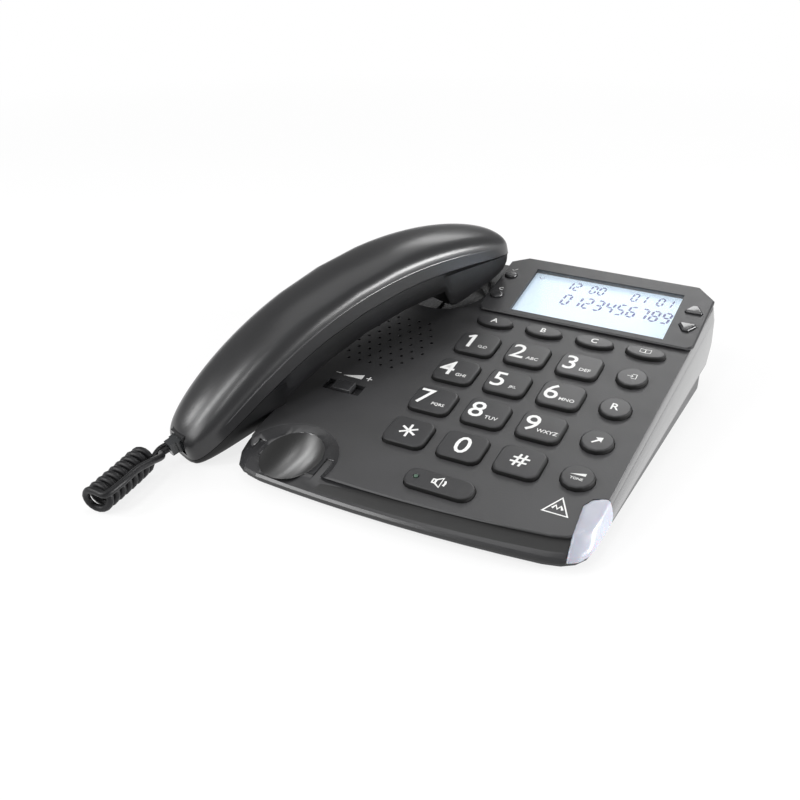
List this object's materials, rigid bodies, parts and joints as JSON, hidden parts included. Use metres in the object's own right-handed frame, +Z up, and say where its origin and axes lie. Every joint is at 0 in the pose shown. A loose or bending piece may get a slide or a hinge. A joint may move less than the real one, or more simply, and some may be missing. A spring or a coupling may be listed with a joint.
{
  "type": "corded desk telephone",
  "caption": "Corded desk telephone with large push keys, tilted display panel, volume slider, side-laid handset and a curly handset cord.",
  "frame": {"origin": "Centre of the bottom of the base, handset and feet together, at table level, with the cord left out", "axes": "+X to the right when facing the keys, +Y from the front edge towards the display, +Z up from the table"},
  "size_m": [0.2305, 0.2588, 0.0795],
  "materials": {
    "case_charcoal": "satin",
    "key_black": "satin",
    "mat_rubber": "matte",
    "foot_rubber": "matte",
    "screw_steel": "satin",
    "lens_milky": "gloss",
    "lamp_green": "gloss",
    "window_clear": "gloss",
    "lcd_glass": "gloss",
    "board_green": "satin",
    "speaker_steel": "satin",
    "weight_steel": "satin",
    "handset_gloss": "semi-gloss",
    "cord_black": "satin"
  },
  "bodies": {
    "base": {"display_panel": "case_charcoal", "lcd_window": "window_clear", "lcd_module": "lcd_glass", "main_board": "board_green", "key_mat": "mat_rubber", "base_speaker": "speaker_steel", "upper_case": "case_charcoal", "lower_case": "case_charcoal", "ring_lens": "lens_milky", "foot_front_left": "foot_rubber", "foot_front_right": "foot_rubber", "foot_rear_left": "foot_rubber", "foot_rear_right": "foot_rubber", "case_screw_1": "screw_steel", "case_screw_2": "screw_steel", "case_screw_3": "screw_steel", "case_screw_4": "screw_steel", "base_handset_jack": "handset_gloss", "base_plug": "window_clear", "line_jack": "handset_gloss", "cord_coil": "cord_black", "handset_tail": "cord_black", "base_tail": "cord_black"},
    "key_1_body": {"key_1": "key_black"},
    "key_2_body": {"key_2": "key_black"},
    "key_3_body": {"key_3": "key_black"},
    "key_4_body": {"key_4": "key_black"},
    "key_5_body": {"key_5": "key_black"},
    "key_6_body": {"key_6": "key_black"},
    "key_7_body": {"key_7": "key_black"},
    "key_8_body": {"key_8": "key_black"},
    "key_9_body": {"key_9": "key_black"},
    "key_star_body": {"key_star": "key_black"},
    "key_0_body": {"key_0": "key_black"},
    "key_hash_body": {"key_hash": "key_black"},
    "store_key_body": {"store_key": "key_black"},
    "recall_key_body": {"recall_key": "key_black"},
    "redial_key_body": {"redial_key": "key_black"},
    "mute_key_body": {"mute_key": "key_black"},
    "memory_key_a_body": {"memory_key_a": "key_black"},
    "memory_key_b_body": {"memory_key_b": "key_black"},
    "memory_key_c_body": {"memory_key_c": "key_black"},
    "phonebook_key_body": {"phonebook_key": "key_black"},
    "speaker_key_body": {"speaker_key": "key_black", "speaker_lamp": "lamp_green"},
    "menu_button_body": {"menu_button": "key_black"},
    "clear_button_body": {"clear_button": "key_black"},
    "up_button_body": {"up_button": "key_black"},
    "down_button_body": {"down_button": "key_black"},
    "hook_body": {"hook_plunger": "key_black"},
    "slider_body": {"volume_slider": "key_black"},
    "handset_body": {"handset_back_shell": "handset_gloss", "handset_inner_shell": "handset_gloss", "ear_capsule": "speaker_steel", "microphone_capsule": "speaker_steel", "handset_weight": "weight_steel", "handset_jack": "handset_gloss", "handset_plug": "window_clear"}
  },
  "joints": [
    {"name": "key_1_press", "type": "slide", "parent": "base", "child": "key_1_body", "axis": [0, 0.1671, -0.9859], "range_m": [0, 0.0015], "stiffness_N_per_m": 300, "springref_m": -0.0005},
    {"name": "key_2_press", "type": "slide", "parent": "base", "child": "key_2_body", "axis": [0, 0.1671, -0.9859], "range_m": [0, 0.0015], "stiffness_N_per_m": 300, "springref_m": -0.0005},
    {"name": "key_3_press", "type": "slide", "parent": "base", "child": "key_3_body", "axis": [0, 0.1671, -0.9859], "range_m": [0, 0.0015], "stiffness_N_per_m": 300, "springref_m": -0.0005},
    {"name": "key_4_press", "type": "slide", "parent": "base", "child": "key_4_body", "axis": [0, 0.1671, -0.9859], "range_m": [0, 0.0015], "stiffness_N_per_m": 300, "springref_m": -0.0005},
    {"name": "key_5_press", "type": "slide", "parent": "base", "child": "key_5_body", "axis": [0, 0.1671, -0.9859], "range_m": [0, 0.0015], "stiffness_N_per_m": 300, "springref_m": -0.0005},
    {"name": "key_6_press", "type": "slide", "parent": "base", "child": "key_6_body", "axis": [0, 0.1671, -0.9859], "range_m": [0, 0.0015], "stiffness_N_per_m": 300, "springref_m": -0.0005},
    {"name": "key_7_press", "type": "slide", "parent": "base", "child": "key_7_body", "axis": [0, 0.1671, -0.9859], "range_m": [0, 0.0015], "stiffness_N_per_m": 300, "springref_m": -0.0005},
    {"name": "key_8_press", "type": "slide", "parent": "base", "child": "key_8_body", "axis": [0, 0.1671, -0.9859], "range_m": [0, 0.0015], "stiffness_N_per_m": 300, "springref_m": -0.0005},
    {"name": "key_9_press", "type": "slide", "parent": "base", "child": "key_9_body", "axis": [0, 0.1671, -0.9859], "range_m": [0, 0.0015], "stiffness_N_per_m": 300, "springref_m": -0.0005},
    {"name": "key_star_press", "type": "slide", "parent": "base", "child": "key_star_body", "axis": [0, 0.1671, -0.9859], "range_m": [0, 0.0015], "stiffness_N_per_m": 300, "springref_m": -0.0005},
    {"name": "key_0_press", "type": "slide", "parent": "base", "child": "key_0_body", "axis": [0, 0.1671, -0.9859], "range_m": [0, 0.0015], "stiffness_N_per_m": 300, "springref_m": -0.0005},
    {"name": "key_hash_press", "type": "slide", "parent": "base", "child": "key_hash_body", "axis": [0, 0.1671, -0.9859], "range_m": [0, 0.0015], "stiffness_N_per_m": 300, "springref_m": -0.0005},
    {"name": "store_key_press", "type": "slide", "parent": "base", "child": "store_key_body", "axis": [0, 0.1671, -0.9859], "range_m": [0, 0.0015], "stiffness_N_per_m": 300, "springref_m": -0.0005},
    {"name": "recall_key_press", "type": "slide", "parent": "base", "child": "recall_key_body", "axis": [0, 0.1671, -0.9859], "range_m": [0, 0.0015], "stiffness_N_per_m": 300, "springref_m": -0.0005},
    {"name": "redial_key_press", "type": "slide", "parent": "base", "child": "redial_key_body", "axis": [0, 0.1671, -0.9859], "range_m": [0, 0.0015], "stiffness_N_per_m": 300, "springref_m": -0.0005},
    {"name": "mute_key_press", "type": "slide", "parent": "base", "child": "mute_key_body", "axis": [0, 0.1671, -0.9859], "range_m": [0, 0.0015], "stiffness_N_per_m": 300, "springref_m": -0.0005},
    {"name": "memory_key_a_press", "type": "slide", "parent": "base", "child": "memory_key_a_body", "axis": [0, 0.1671, -0.9859], "range_m": [0, 0.0015], "stiffness_N_per_m": 300, "springref_m": -0.0005},
    {"name": "memory_key_b_press", "type": "slide", "parent": "base", "child": "memory_key_b_body", "axis": [0, 0.1671, -0.9859], "range_m": [0, 0.0015], "stiffness_N_per_m": 300, "springref_m": -0.0005},
    {"name": "memory_key_c_press", "type": "slide", "parent": "base", "child": "memory_key_c_body", "axis": [0, 0.1671, -0.9859], "range_m": [0, 0.0015], "stiffness_N_per_m": 300, "springref_m": -0.0005},
    {"name": "phonebook_key_press", "type": "slide", "parent": "base", "child": "phonebook_key_body", "axis": [0, 0.1671, -0.9859], "range_m": [0, 0.0015], "stiffness_N_per_m": 300, "springref_m": -0.0005},
    {"name": "speaker_key_press", "type": "slide", "parent": "base", "child": "speaker_key_body", "axis": [0, 0.1671, -0.9859], "range_m": [0, 0.0015], "stiffness_N_per_m": 300, "springref_m": -0.0005},
    {"name": "menu_button_press", "type": "slide", "parent": "base", "child": "menu_button_body", "axis": [0, 0.2185, -0.9758], "range_m": [0, 0.0008], "stiffness_N_per_m": 300, "springref_m": -0.0005},
    {"name": "clear_button_press", "type": "slide", "parent": "base", "child": "clear_button_body", "axis": [0, 0.2185, -0.9758], "range_m": [0, 0.0008], "stiffness_N_per_m": 300, "springref_m": -0.0005},
    {"name": "up_button_press", "type": "slide", "parent": "base", "child": "up_button_body", "axis": [0, 0.2185, -0.9758], "range_m": [0, 0.0008], "stiffness_N_per_m": 300, "springref_m": -0.0005},
    {"name": "down_button_press", "type": "slide", "parent": "base", "child": "down_button_body", "axis": [0, 0.2185, -0.9758], "range_m": [0, 0.0008], "stiffness_N_per_m": 300, "springref_m": -0.0005},
    {"name": "hook_press", "type": "slide", "parent": "base", "child": "hook_body", "axis": [0, 0.1671, -0.9859], "range_m": [0, 0.0018], "stiffness_N_per_m": 120, "springref_m": -0.0005},
    {"name": "volume_slide", "type": "slide", "parent": "base", "child": "slider_body", "axis": [1, 0, 0], "range_m": [-0.0045, 0.0045]},
    {"name": "handset_lift", "type": "slide", "parent": "base", "child": "handset_body", "axis": [0, 0, 1], "range_m": [0, 0.12]}
  ]
}
